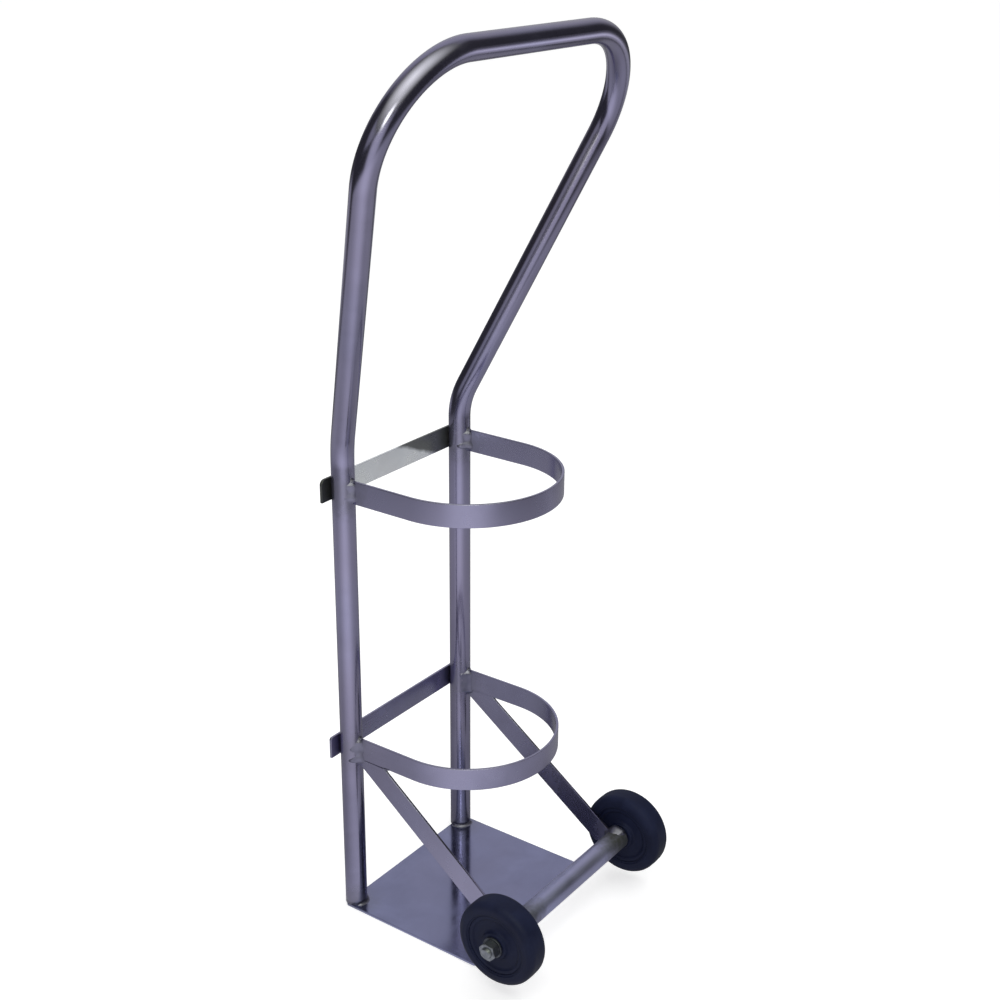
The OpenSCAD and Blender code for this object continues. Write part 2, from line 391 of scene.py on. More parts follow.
def weld_heat(n, where, reach):
    """How close a point is to a weld, 0 to 1, from reach away."""
    mirrored = n.vector("ABSOLUTE", where).outputs[0]
    joints = (
        (half_spacing, 0.0, plate_top),
        (half_spacing, 0.0, upper_z),
        (half_spacing, 0.0, lower_z),
        (half_spacing, -axle.y, axle.z),
    )
    nearest = None
    for joint in joints:
        away = n.vector("DISTANCE", mirrored, joint).outputs["Value"]
        nearest = away if nearest is None else n.math("MINIMUM", nearest, away)
    ragged = n.noise(where, 160.0, 2.0)
    nearest = n.math("ADD", nearest, n.spread(ragged, -HEAT_RAGGED, HEAT_RAGGED))
    return n.span(nearest, reach, HEAT_FULL)


def steel_material(
    name, tint, rough, across, metal=1.0, dark_from=None,
    reach=HEAT_REACH, stain_and_shade=HEAT_STAIN, stain_and_shade_to=BURNT_TO,
):
    """Polished steel: streaks along the piece, smudges, and a heat tint that reaches out from the welds;
    on the axle tube it is much darker and also stands for a painted reflection of the dark tyres.
    rough is the range of the roughness, and across how close the streaks lie. dark_from is given for
    the upper strip: its ends turn dark this far from the middle, and a painted dark reflection covers its +X
    side."""
    n = Nodes(name)
    where = n.add("ShaderNodeTexCoord").outputs["Object"]
    lay = n.add("ShaderNodeAttribute", attribute_name="run").outputs["Vector"]
    streak_at = n.vector("MULTIPLY", lay, (STREAK_ALONG, across, across)).outputs[0]
    streak = n.noise(streak_at, 1.0, 4.0, 0.6)
    smudge = n.noise(where, 22.0, 3.0, 0.55, 0.4)
    cloud = n.noise(where, 7.0, 2.0)
    heat = weld_heat(n, where, reach)
    dark = colour(*(c * 0.9 for c in tint))
    light = colour(*(c * 1.12 for c in tint))
    warm = colour(tint[0] * 1.05, tint[1] * 0.98, tint[2] * 0.92)
    base = n.mix(n.spread(smudge), dark, light)
    base = n.mix(n.span(cloud, 0.35, 0.65, 0.0, 0.5), base, warm)
    base = n.mix(n.span(streak, 0.35, 0.65, 0.0, 0.12), base, light)
    # Darkening near the welds: heat tint, and on the axle tube also a painted reflection of the dark tyres
    stain_and_shade_tone = sum(tint) / 3 * stain_and_shade_to
    stain_and_shade_mask = n.math("MULTIPLY", heat, n.span(smudge, 0.25, NOISE_HI, *stain_and_shade))
    base = n.mix(stain_and_shade_mask, base, colour(stain_and_shade_tone * 0.98, stain_and_shade_tone, stain_and_shade_tone * 1.06))
    if dark_from:
        place = n.add("ShaderNodeSeparateXYZ", {0: where}).outputs
        out = n.math("ABSOLUTE", place["X"])
        base = n.mix(n.span(out, dark_from, dark_from + END_FADE), base, colour(*DARK_STEEL))
        # Painted dark reflection: the strip darkens past a slanted, ragged edge on its +X side
        strip_top, strip_foot = upper_z + strap_h / 2, upper_z - strap_h / 2
        slant = n.span(place["Z"], strip_top, strip_foot, PAINTED_REFLECTION_FROM, PAINTED_REFLECTION_FROM + PAINTED_REFLECTION_SLOPE)
        ragged = n.math("ADD", slant, n.spread(smudge, -PAINTED_REFLECTION_RAGGED, PAINTED_REFLECTION_RAGGED))
        past = n.math("SUBTRACT", place["X"], ragged)
        base = n.mix(n.span(past, 0.0, PAINTED_REFLECTION_FADE, 0.0, 0.9), base, colour(*DARK_STEEL))
    n.link(base, "Base Color")
    dulled = n.math("ADD", n.spread(smudge, *rough), n.spread(streak, -0.012, 0.012))
    n.link(n.math("ADD", dulled, n.math("MULTIPLY", heat, 0.12)), "Roughness")
    n.set(Metallic=metal)
    fine = n.noise(streak_at, 3.0, 2.0)
    height = n.math("ADD", n.math("MULTIPLY", streak, 0.6), n.math("MULTIPLY", fine, 0.4))
    n.bump(height, 0.04 * MM, 0.03)
    return n.material


def weld_material():
    """The welds: close to the steel beside them, a little rougher, with darker spots."""
    n = Nodes("weld_fillet")
    where = n.add("ShaderNodeTexCoord").outputs["Object"]
    spots = n.noise(where, 120.0, 3.0)
    tone = n.noise(where, 45.0, 2.0)
    base = n.mix(n.spread(spots), colour(0.20, 0.195, 0.29), colour(0.27, 0.265, 0.38))
    base = n.mix(n.span(tone, 0.5, 0.7, 0.0, 0.5), base, colour(0.14, 0.138, 0.17))
    n.link(base, "Base Color")
    n.link(n.spread(spots, 0.32, 0.46), "Roughness")
    n.set(Metallic=1.0)
    n.bump(n.noise(where, 420.0, 2.0), 0.1 * MM, 0.35)
    return n.material


def turned_material(name, dark, light, rough):
    """Turned metal: fine rings round the axle, and a little dirt."""
    n = Nodes(name)
    where = n.add("ShaderNodeTexCoord").outputs["Object"]
    from_axle = n.vector("SUBTRACT", where, (0.0, axle.y, axle.z)).outputs[0]
    radius = n.vector("LENGTH", n.vector("MULTIPLY", from_axle, (0, 1, 1)).outputs[0]).outputs["Value"]
    out = n.add("ShaderNodeSeparateXYZ", {0: where}).outputs["X"]
    ring_at = n.add("ShaderNodeCombineXYZ", {"X": radius, "Y": out}).outputs[0]
    ring = n.noise(ring_at, 2600.0, 2.0)
    dirt = n.noise(where, 210.0, 3.0, 0.6)
    base = n.mix(n.span(dirt, 0.35, 0.7), colour(*light), colour(*dark))
    n.link(base, "Base Color")
    n.link(n.math("ADD", n.spread(dirt, *rough), n.spread(ring, -0.03, 0.03)), "Roughness")
    n.set(Metallic=1.0)
    n.bump(ring, 0.02 * MM, 0.5)
    return n.material


# Rubber and plastic
RUBBER_DARK = (0.0063, 0.0088, 0.030)
RUBBER_LIGHT = (0.0112, 0.0152, 0.045)


def rubber_material(name, grain):
    """Dark moulded rubber or plastic: a fine grain, dust and scuffs."""
    n = Nodes(name)
    where = n.add("ShaderNodeTexCoord").outputs["Object"]
    dust = n.noise(where, 38.0, 4.0, 0.6, 0.3)
    patch = n.noise(where, 11.0, 2.0)
    red, green, blue = RUBBER_LIGHT
    base = n.mix(n.span(dust, 0.38, 0.72), colour(*RUBBER_DARK), colour(*RUBBER_LIGHT))
    base = n.mix(n.span(patch, 0.45, 0.7, 0.0, 0.45), base, colour(red * 1.3, green * 1.15, blue))
    n.link(base, "Base Color")
    n.link(n.spread(dust, 0.46, 0.66), "Roughness")
    n.set(Specular_IOR_Level=0.16)
    small = n.noise(where, grain, 3.0, 0.6)
    n.bump(n.math("ADD", small, n.math("MULTIPLY", dust, 0.5)), 0.12 * MM, 0.5)
    return n.material


# Tints of the steel pieces, and all the materials
STEEL = (0.305, 0.295, 0.455)
PLATE_STEEL = (0.285, 0.30, 0.50)
DULL_STEEL = (0.45, 0.46, 0.73)
STRAP_STEEL = (0.335, 0.33, 0.505)
STRIP_STEEL = (0.87, 0.92, 1.0)
tube_steel = steel_material("polished_tube", STEEL, (0.16, 0.23), 420.0)
# The axle tube turns much darker near the strut-foot welds: partly heat tint, partly a painted reflection of
# the dark tyres.
dull_steel = steel_material(
    "dull_tube", DULL_STEEL, (0.42, 0.54), 420.0, reach=48 * MM, stain_and_shade=(0.75, 1.0), stain_and_shade_to=0.26,
)
strap_steel = steel_material("polished_strap", STRAP_STEEL, (0.20, 0.30), 320.0)
# The upper strip, with dark ends and a painted dark reflection on its +X side
bright_steel = steel_material(
    "bright_strip", STRIP_STEEL, (0.20, 0.30), 320.0, metal=0.8, dark_from=half_spacing,
)
plate_steel = steel_material("polished_plate", PLATE_STEEL, (0.09, 0.17), 500.0)
weld_steel = weld_material()
zinc = turned_material("zinc_plate", (0.17, 0.18, 0.22), (0.30, 0.32, 0.37), (0.34, 0.48))
dark_zinc = turned_material("dull_zinc", (0.07, 0.075, 0.095), (0.13, 0.14, 0.17), (0.42, 0.56))
bronze = turned_material("sintered_bronze", (0.32, 0.19, 0.08), (0.48, 0.31, 0.14), (0.32, 0.46))
tyre_rubber = rubber_material("tyre_rubber", 900.0)
core_plastic = rubber_material("core_plastic", 1500.0)

# Frame tube
left_half = [
    (-half_spacing, 0, plate_top),
    (-half_spacing, 0, KNEE_HEIGHT),
    (-HANDLE_WIDTH / 2, -HANDLE_REACH, HANDLE_HEIGHT),
]
tube_points = left_half + [(-x, y, z) for x, y, z in reversed(left_half)]
tube_path = bend_path(tube_points, [KNEE_RADIUS, CORNER_RADIUS, CORNER_RADIUS, KNEE_RADIUS])
bm, run = new_bmesh()
sweep(bm, run, tube_path, circle(tube_r, TUBE_SIDES), X)
finish_mesh("bent_frame_tube", bm, tube_steel, "frame", "frame_tube")

# Hoops
strap_section = fillet(rectangle(-strap_t / 2, -strap_h / 2, strap_t / 2, strap_h / 2), [EDGE_R] * 4)


def hoop_path(z):
    """A hoop's middle line: out along one side, round the front and back along the other side."""
    straight = hoop_mid - tube_r
    count = HOOP_SIDE_STEPS
    path = [Vector((-half_spacing, -tube_r - straight * k / count, z)) for k in range(count)]
    for k in range(HOOP_TURN_STEPS + 1):
        t = math.pi * k / HOOP_TURN_STEPS
        path.append(Vector((-half_spacing * math.cos(t), -hoop_mid - half_spacing * math.sin(t), z)))
    path += [Vector((half_spacing, -hoop_mid + straight * k / count, z)) for k in range(1, count + 1)]
    return path


for level, z in (("upper", upper_z), ("lower", lower_z)):
    bm, run = new_bmesh()
    sweep(bm, run, hoop_path(z), strap_section, X)
    finish_mesh(level + "_strap_hoop", bm, strap_steel, "frame", level + "_hoop")

# Back strips
for level, corner, steel in (
    ("upper", UPPER_STRIP_CORNER_R, bright_steel),
    ("lower", LOWER_STRIP_CORNER_R, strap_steel),
):
    lo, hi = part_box(level + "_back_strip")
    outline = fillet(rectangle(lo.x, lo.z, hi.x, hi.z), [EDGE_R, EDGE_R, corner, corner], steps=8)
    bm, run = new_bmesh()
    slab(bm, run, outline, hi.y - lo.y, lambda u, v, w: (u, lo.y + w, v))
    finish_mesh(level + "_rear_strip", bm, steel, "frame", level + "_back_strip")

# Base plate
plate_outline = fillet(
    rectangle(plate_lo.x, plate_lo.y, plate_hi.x, plate_hi.y), [PLATE_CORNER_R] * 4, steps=12
)
bm, run = new_bmesh()
slab(bm, run, plate_outline, plate_top, lambda u, v, w: (u, v, w))
finish_mesh("standing_plate", bm, plate_steel, "frame", "base_plate")

# Struts, drawn as distance from the uprights' fronts and height, then turned outwards a little
strut_run = -axle.y - tube_r
strut_yaw = math.atan2(STRUT_SPLAY, strut_run)
strut_top = Vector((0, lower_z - STRUT_TOP_DROP))
strut_foot = Vector((strut_run, axle.z - STRUT_FOOT_DROP))
strut_way = (strut_foot - strut_top).normalized()
strut_up = Vector((-strut_way.y, strut_way.x))
strut_ceiling = lower_lo.z
strut_floor = axle.z - axle_tube_r
strut_reach = strut_run - axle_tube_r / 2
notch_r = axle_tube_r + WELD_GAP
notch_at = Vector((strut_run / math.cos(strut_yaw), axle.z))


def edge_at_height(offset, height):
    """Where a line beside the strut's middle line reaches a height."""
    start = strut_top + strut_up * offset
    return start + strut_way * (height - start.y) / strut_way.y


def strut_notch():
    """The round of the foot, from the strut's upper edge to its end under the axle tube."""
    start = strut_top + strut_up * STRUT_W / 2
    to_axle = notch_at - start
    along = to_axle.dot(strut_way)
    off = to_axle.dot(strut_up)
    first = start + strut_way * (along - math.sqrt(notch_r ** 2 - off ** 2)) - notch_at
    drop = math.sqrt(notch_r ** 2 - (notch_at.x - strut_reach) ** 2)
    turn_a = math.atan2(first.y, first.x) % (2 * math.pi)
    turn_b = math.atan2(-drop, strut_reach - notch_at.x) % (2 * math.pi)
    return [
        notch_at + notch_r * Vector((math.cos(t), math.sin(t)))
        for t in (turn_a + (turn_b - turn_a) * k / NOTCH_STEPS for k in range(NOTCH_STEPS + 1))
    ]


strut_low_top = strut_top - strut_up * STRUT_W / 2
strut_low_top = strut_low_top - strut_way * strut_low_top.x / strut_way.x
strut_corner = Vector((0, strut_ceiling))
strut_shoulder = edge_at_height(STRUT_W / 2, strut_ceiling)
strut_arc = strut_notch()
strut_toe = Vector((strut_reach, strut_floor))
strut_heel = edge_at_height(-STRUT_W / 2, strut_floor)


def strut_place(side, u, v, w):
    """From the strut's own plane to the frame; w is the distance from its middle."""
    c, s = math.cos(strut_yaw), math.sin(strut_yaw)
    return Vector((side * half_spacing + side * u * s + w * c, -tube_r - u * c + side * w * s, v))


strut_outline = fillet(
    [strut_low_top, strut_corner, strut_shoulder, *strut_arc, strut_toe, strut_heel],
    [EDGE_R, EDGE_R, EDGE_R, *[0.0] * len(strut_arc), EDGE_R, EDGE_R],
)
for name, side in SIDES:
    bm, run = new_bmesh()
    slab(bm, run, strut_outline, strap_t, lambda u, v, w: strut_place(side, u, v, w - strap_t / 2))
    finish_mesh(name + "_strut_bar", bm, strap_steel, "frame", name + "_strut")

# Axle tube, open at both ends
bore_r = axle_tube_r - AXLE_TUBE_WALL
axle_profile = fillet(rectangle(-axle_tube_end, axle_tube_r, axle_tube_end, bore_r), [EDGE_R] * 4)
bm, run = new_bmesh()
lathe(bm, run, axle_profile, 1, TUBE_SIDES)
finish_mesh("axle_carrier_tube", bm, dull_steel, "frame", "axle_tube")


# Axle rod, threaded at both ends
def threaded_rod():
    bm, run = new_bmesh()
    step = THREAD_PITCH / THREAD_STEPS
    count = round(THREAD_LEN / step)
    stations = [-rod_end + step * k for k in range(count + 1)]
    stations += [-x for x in reversed(stations)]
    rings = []
    for x in stations:
        from_end = rod_end - abs(x)
        ring = []
        for k in range(THREAD_SIDES):
            t = 2 * math.pi * k / THREAD_SIDES
            phase = (x / THREAD_PITCH + k / THREAD_SIDES) % 1.0
            tooth = abs(2 * phase - 1)
            fade = min(1.0, max(0.0, (THREAD_LEN - from_end) / THREAD_PITCH))
            radius = ROD_R - THREAD_GAP - THREAD_DEPTH * fade * (1 - min(1.0, tooth * THREAD_STEEP))
            radius = min(radius, ROD_R - ROD_TIP + from_end)
            y, z = radius * math.cos(t), radius * math.sin(t)
            vert = bm.verts.new((x, axle.y + y, axle.z + z))
            vert[run] = (x, y, z)
            ring.append(vert)
        rings.append(ring)
    skin(bm, rings)
    finish_mesh("threaded_axle_rod", bm, zinc, "frame", "axle_rod")


threaded_rod()


# Nuts: six flats, the corners turned down to a cone
def nut(name, side, turn):
    lo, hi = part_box(name + "_axle_nut")
    start = min(abs(lo.x), abs(hi.x))
    height = hi.x - lo.x
    sides = 6 * NUT_FLAT_STEPS
    bore = ROD_R + SEAT_GAP
    mouth = bore + NUT_BORE_CHAMFER
    bm, run = new_bmesh()
    rows = [[] for _ in range(8)]
    for k in range(sides):
        t = 2 * math.pi * k / sides
        off = (t % (math.pi / 3)) - math.pi / 6
        flat_r = min(NUT_AF / 2 / math.cos(off), NUT_AF / 2 / math.cos(math.pi / 6) * NUT_CORNER)
        rise = (flat_r - NUT_FACE_R) * NUT_CONE
        places = (
            (0.0, mouth),
            (0.0, NUT_FACE_R),
            (rise, flat_r),
            (height - rise, flat_r),
            (height, NUT_FACE_R),
            (height, mouth),
            (height - NUT_BORE_CHAMFER, bore),
            (NUT_BORE_CHAMFER, bore),
        )
        c, s = math.cos(t + turn), math.sin(t + turn)
        for row, (out, radius) in zip(rows, places):
            vert = bm.verts.new((side * (start + out), axle.y + radius * c, axle.z + radius * s))
            vert[run] = (out, radius * c, radius * s)
            row.append(vert)
    skin(bm, rows, loop=True)
    bm.normal_update()
    for edge in bm.edges:
        if len(edge.link_faces) == 2 and edge.calc_face_angle() > NUT_SHARP:
            edge.smooth = False
    finish_mesh(name + "_hex_nut", bm, zinc, "frame", name + "_axle_nut")


nut("left", -1, math.radians(12))
nut("right", 1, math.radians(40))

# Washers
for place in ("inner", "outer"):
    for name, side in SIDES:
        node = f"{name}_{place}_washer"
        lo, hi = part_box(node)
        near, far = sorted((abs(lo.x), abs(hi.x)))
        outside = (hi.z - lo.z) / 2
        rounds = [WASHER_EDGE_R, 2 * WASHER_EDGE_R, WASHER_EDGE_R, WASHER_EDGE_R]
        profile = fillet(rectangle(near, outside, far, ROD_R + SEAT_GAP), rounds, hold=WASHER_HOLD)
        bm, run = new_bmesh()
        lathe(bm, run, profile, side, TUBE_SIDES)
        finish_mesh(node + "_plate", bm, dark_zinc, "frame", node)

# Wheels
TYRE_DEPTH = 15 * MM
SEAT_R = wheel_r - TYRE_DEPTH
TYRE_HALF = (wheel_hi.x - wheel_lo.x) / 2
TONGUE_H = 2.5 * MM
TONGUE_HALF = 4 * MM
RIM_HALF = 13 * MM
RIM_T = 4 * MM
WEB_HALF = 11 * MM
BOSS_R = 15 * MM
boss_lo, boss_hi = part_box("right_wheel_core")
BOSS_HALF = (boss_hi.x - boss_lo.x) / 2
BUSH_R = 9 * MM
BOSS_SLOPE = 2 * MM
SHOULDER_R = 8 * MM
CROWN = 0.5 * MM
CROWN_HALF = 0.5 * MM
LIP_BACK = 1.2 * MM
LIP_FOOT = 1.6 * MM
LIP_TOP = 2.2 * MM
WHEEL_HOLD = 0.15 * MM
WHEEL_ROUND_STEPS = 6


def both_sides(half):
    """A wheel's whole profile from half of it: distances from the middle, radii and corner rounds."""
    whole = half + [(-out, radius, soft) for out, radius, soft in reversed(half)]
    points = [(out, radius) for out, radius, _ in whole]
    rounds = [soft for _, _, soft in whole]
    return fillet(points, rounds, steps=WHEEL_ROUND_STEPS, hold=WHEEL_HOLD)


def tyre_profile():
    inner = SEAT_R + SEAT_GAP
    groove = TONGUE_HALF + SEAT_GAP
    return both_sides([
        (groove, inner + TONGUE_H, 0.0),
        (groove, inner, 0.2 * MM),
        (TYRE_HALF - LIP_BACK, inner, 0.6 * MM),
        (TYRE_HALF - LIP_BACK, inner + LIP_FOOT, 0.4 * MM),
        (TYRE_HALF, inner + LIP_TOP, 0.8 * MM),
        (TYRE_HALF, wheel_r - CROWN, SHOULDER_R),
        (CROWN_HALF, wheel_r, 0.0),
    ])


def core_profile():
    rim_in = SEAT_R - RIM_T
    return both_sides([
        (TONGUE_HALF, SEAT_R + TONGUE_H, 0.5 * MM),
        (TONGUE_HALF, SEAT_R, 0.5 * MM),
        (RIM_HALF, SEAT_R, 0.8 * MM),
        (RIM_HALF, rim_in, 1.2 * MM),
        (WEB_HALF, rim_in - BOSS_SLOPE, 3 * MM),
        (WEB_HALF, BOSS_R + BOSS_SLOPE, 3 * MM),
        (BOSS_HALF, BOSS_R, 1.2 * MM),
        (BOSS_HALF, BUSH_R + SEAT_GAP, 0.4 * MM),
    ])


for name, side in SIDES:
    body = name + "_wheel"
    for piece, profile, material, slot, node in (
        ("_moulded_tyre", tyre_profile(), tyre_rubber, "tyre_rubber", "_tyre"),
        ("_moulded_core", core_profile(), core_plastic, "core_plastic", "_wheel_core"),
    ):
        bm, run = new_bmesh()
        placed = [(wheel_mid + out, radius) for out, radius in profile]
        lathe(bm, run, placed, side, WHEEL_SIDES)
        finish_mesh(name + piece, bm, material, body, name + node)

# Nodes that stay as they are
for name in ("left", "right"):
    for node, material in ((name + "_axle_plug", zinc), (name + "_wheel_bush", bronze)):
        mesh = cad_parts[node].data
        mesh.materials.clear()
        mesh.materials.append(material)


# Welds: hollow fillets that run out smoothly on both pieces. A weld swells and thins from lump to lump,
# and runs out thin at both ends.
LUMP = 7 * MM
WELD_STEP = 0.8 * MM
RUN_OUT = 5 * MM
THIN_END = 0.15
SWELL = (0.8, 1.2)
WELD_CURVE_STEPS = 8
FOOT_ARC = (-135, 20)
CREST_START = 15
CREST_STEP = 5
CREST_POINTS = 25
TOP_RUN_PAST = 2 * MM
WEB_INSET = 0.2 * MM
ARC_POINTS = 24
random.seed(7)


def hollow(first, corner, last, *behind):
    """A weld's section in millimetres: a hollow curve between two faces, closed behind them."""
    curve = []
    for t in (k / WELD_CURVE_STEPS for k in range(WELD_CURVE_STEPS + 1)):
        parts = ((1 - t) ** 2, 2 * t * (1 - t), t ** 2)
        curve.append([sum(p * q[i] for p, q in zip(parts, (first, corner, last))) for i in (0, 1)])
    return [(u * MM, v * MM) for u, v in (*curve, *behind)]


def fillet_weld(bm, run, path, section, side, towards):
    """Carries a weld's section along a joint, lumpy, and thin at both ends. side and towards are
    the ways of the section's two axes at the start."""
    if (path[1] - path[0]).cross(side).dot(towards) < 0:
        path = path[::-1]
    fine = [path[0]]
    for one, two in zip(path, path[1:]):
        count = max(1, round((two - one).length / WELD_STEP))
        fine += [one.lerp(two, k / count) for k in range(1, count + 1)]
    total = sum((b - a).length for a, b in zip(fine, fine[1:]))
    lumps = [random.uniform(*SWELL) for _ in range(int(total / LUMP) + 2)]
    scales = []
    along = 0.0
    for i, here in enumerate(fine):
        if i:
            along += (here - fine[i - 1]).length
        k = int(along / LUMP)
        blend = (1 - math.cos(math.pi * (along / LUMP - k))) / 2
        swell = lumps[k] * (1 - blend) + lumps[k + 1] * blend
        ends = min(1.0, THIN_END + min(along, total - along) / RUN_OUT)
        scales.append(swell * ends)
    sweep(bm, run, fine, section, side, scales)


def arc_points(centre, radius, start, stop, across, up):
    """Points on an arc in the plane of two directions, from a start to a stop angle in degrees."""
    turns = [math.radians(start + (stop - start) * k / ARC_POINTS) for k in range(ARC_POINTS + 1)]
    return [centre + radius * math.cos(t) * across + radius * math.sin(t) * up for t in turns]


def weld(name, *joints):
    """One piece made of the welds along some joints."""
    bm, run = new_bmesh()
    for joint in joints:
        fillet_weld(bm, run, *joint)
    finish_mesh(name, bm, weld_steel, "frame")


# Sections of the welds, in millimetres from the joint
WEB_LEG = 8
FOOT_FILLET = hollow((4.5, -0.2), (0, 0), (-0.2, 4.5), (-1.5, 3), (-1.5, -2), (3, -2))
FRONT_FILLET = hollow((-0.1, 7.5), (0, 2.6), (7.5, -3.7), (8.6, -6.4), (-1, -6), (-1, 6))
TOP_FILLET = hollow((5, -0.2), (0, 0), (-0.2, 5), (-2, 4), (-2, -2), (4, -2))
AXLE_FILLET = hollow((-0.1, 6.5), (0.8, 0.8), (8, -0.8), (6, -2.2), (-1, -2), (-1, 5))
crest = strut_arc[0] - notch_at
crest_turn = math.degrees(math.atan2(crest.y, crest.x))
strut_run_on = [
    notch_at + notch_r * Vector((math.cos(math.radians(t)), math.sin(math.radians(t))))
    for t in (crest_turn + CREST_START - CREST_STEP * k for k in range(CREST_POINTS))
]
CREST_BEAD = [
    (x * MM, y * MM)
    for x, y in (
        (-11, -1), (-10, -0.2), (-8, 0.6), (-6, 1.7), (-4, 2.7),
        (-1.5, 3.4), (1, 3.3), (2, 2.5), (2.5, 1), (2.5, -1),
    )
]
web_end = (WEB_LEG * strut_way.x, -WEB_LEG * strut_way.y)
web_back = (web_end[0] - 1, web_end[1] + 1)
WEB_FILLET = hollow((WEB_LEG, -0.2), (0, 0), web_end, web_back, (-1, -0.5), (WEB_LEG - 1, -1))

for name, side in SIDES:
    out = X * side
    foot = Vector((side * half_spacing, 0, plate_top))
    ring = arc_points(foot, tube_r, *FOOT_ARC, -out, Y)
    weld(name + "_foot_weld", (ring, FOOT_FILLET, Z, ring[0] - foot))
    for level, z, low in (("upper", upper_z, upper_lo.z), ("lower", lower_z, strut_low_top.y)):
        front = Vector((side * half_spacing, -tube_r, 0))
        top = z + strap_h / 2
        joints = []
        for s in (-1, 1):
            face = front + X * s * strap_t / 2
            joints.append(([face + Z * low, face + Z * top], FRONT_FILLET, X * s, -Y))
        over = [front + X * s * (strap_t / 2 + TOP_RUN_PAST) + Z * top for s in (-1, 1)]
        joints.append((over, TOP_FILLET, -Y, Z))
        weld(f"{name}_{level}_hoop_weld", *joints)
    arc = [strut_place(side, p.x, p.y, -side * strap_t / 2) for p in strut_arc]
    over = [strut_place(side, p.x, p.y, 0) for p in strut_run_on]
    weld(
        name + "_strut_foot_weld",
        (arc, AXLE_FILLET, -out, (arc[0] - axle) * Vector((0, 1, 1))),
        (over, CREST_BEAD, out, (over[0] - axle) * Vector((0, 1, 1))),
    )
    corner = [strut_place(side, *strut_shoulder, s * (strap_t / 2 - WEB_INSET)) for s in (-1, 1)]
    bm, run = new_bmesh()
    sweep(bm, run, corner, WEB_FILLET, -Y)
    finish_mesh(name + "_strut_web_weld", bm, weld_steel, "frame")

# Camera, as the photograph was taken
CAMERA_AT = Vector((-1260.2, -1036.0, 1140.6)) * MM
CAMERA_YAW = math.radians(-54.335)
CAMERA_PITCH = math.radians(22.032)
CAMERA_ROLL = math.radians(0.443)
CAMERA_LENS = 56.37
CAMERA_SENSOR = 36.0
camera = bpy.data.objects.new("camera", bpy.data.cameras.new("camera"))
scene.collection.objects.link(camera)
scene.camera = camera
back = Vector((
    math.sin(CAMERA_YAW) * math.cos(CAMERA_PITCH),
    -math.cos(CAMERA_YAW) * math.cos(CAMERA_PITCH),
    math.sin(CAMERA_PITCH),
))
level_right = Z.cross(back).normalized()
level_up = back.cross(level_right)
c, s = math.cos(CAMERA_ROLL), math.sin(CAMERA_ROLL)
cam_right = c * level_right + s * level_up
cam_up = c * level_up - s * level_right
turned = Matrix((cam_right, cam_up, back)).transposed().to_4x4()
camera.matrix_world = Matrix.Translation(CAMERA_AT) @ turned
camera.data.lens = CAMERA_LENS
camera.data.sensor_fit = "HORIZONTAL"
camera.data.sensor_width = CAMERA_SENSOR
camera.data.clip_start = 0.01
camera.data.clip_end = 200.0


# Floor, world, softboxes and lamps
def sheet(name, outline, material):
    """One flat face that is no part of the object."""
    mesh = bpy.data.meshes.new(name)
    mesh.from_pydata([(u, v, 0) for u, v in outline], [], [list(range(len(outline)))])
    mesh.materials.append(material)
    made = bpy.data.objects.new(name, mesh)
    scene.collection.objects.link(made)
    return made


class Surroundings(Nodes):
    """Node tree of the floor or the world, with the kinds of ray that see it."""

    def __init__(self, owner):
        owner.use_nodes = True
        self.tree = owner.node_tree
        self.tree.nodes.clear()
        path = self.add("ShaderNodeLightPath")
        self.direct = self.math("MAXIMUM", path.outputs["Is Camera Ray"], path.outputs["Is Transmission Ray"])
        self.glossy = path.outputs["Is Glossy Ray"]

    def smooth(self, value, lo, hi, to_lo, to_hi):
        sockets = {"Value": value, "From Min": lo, "From Max": hi, "To Min": to_lo, "To Max": to_hi}
        return self.add("ShaderNodeMapRange", sockets, interpolation_type="SMOOTHSTEP").outputs["Result"]

    def disc(self, outwards, way, outer, inner, lo, hi):
        """A round patch of the world about a way, from its outer to its inner edge in degrees."""
        facing = self.vector("DOT_PRODUCT", outwards, tuple(way)).outputs["Value"]
        return self.smooth(facing, math.cos(math.radians(outer)), math.cos(math.radians(inner)), lo, hi)


def direction(azimuth, elevation):
    """The way to a place round the object, from its azimuth and elevation in degrees."""
    a, e = math.radians(azimuth), math.radians(elevation)
    return Vector((math.sin(a) * math.cos(e), -math.cos(a) * math.cos(e), math.sin(e)))


DARK = 0.05

# The floor is white to the camera. In reflections it is a pale patch round the object, brightest towards
# the camera, that runs on towards the camera and the backdrop and ends in the dark elsewhere. Close round
# the object it is dimmed by a painted shadow of the object.
# Distances are in metres from the object, and the edges between azimuths are cosines.
FLOOR_HALF = 60.0
FLOOR_GLOW = 0.45
FLOOR_SIDE = 0.50
FLOOR_RISE = 0.47
FLOOR_DIP = 0.15
FLOOR_PEAK = -56
FLOOR_FALL = 3.0
# How far round the object the painted shadow in the reflected floor reaches, and how dark it is there
FLOOR_SHADOW_REACH = (0.2, 0.9)
FLOOR_SHADOW_LEVEL = 0.7
FLOOR_COLOUR = (0.82, 0.82, 0.82)
PATCH_EDGE = (1.3, 1.85)
LANE_AZIMUTH = -50
LANE_EDGE = (0.79, 0.99)
LANE_BRIGHT = 0.8
BACKDROP_AZIMUTH = 122
BACKDROP_SIDES = (0.17, 0.34)
BACKDROP_FOOT = (1.5, 2.0)
BACKDROP_CORNER = 54
BACKDROP_CORNER_EDGE = (0.955, 0.99)
BACKDROP_DIM = 0.4
BACKDROP_BRIGHT = 0.68
BACKDROP_EDGE = 0.8
BACKDROP_EDGE_FROM = (2.2, 2.8)
BACKDROP_EDGE_TO = (3.2, 4.4)
BACKDROP_FAR = (3.5, 8.0)
BACKDROP_FAR_DIM = 0.25
floor_material = bpy.data.materials.new("pale_floor")
n = Surroundings(floor_material)
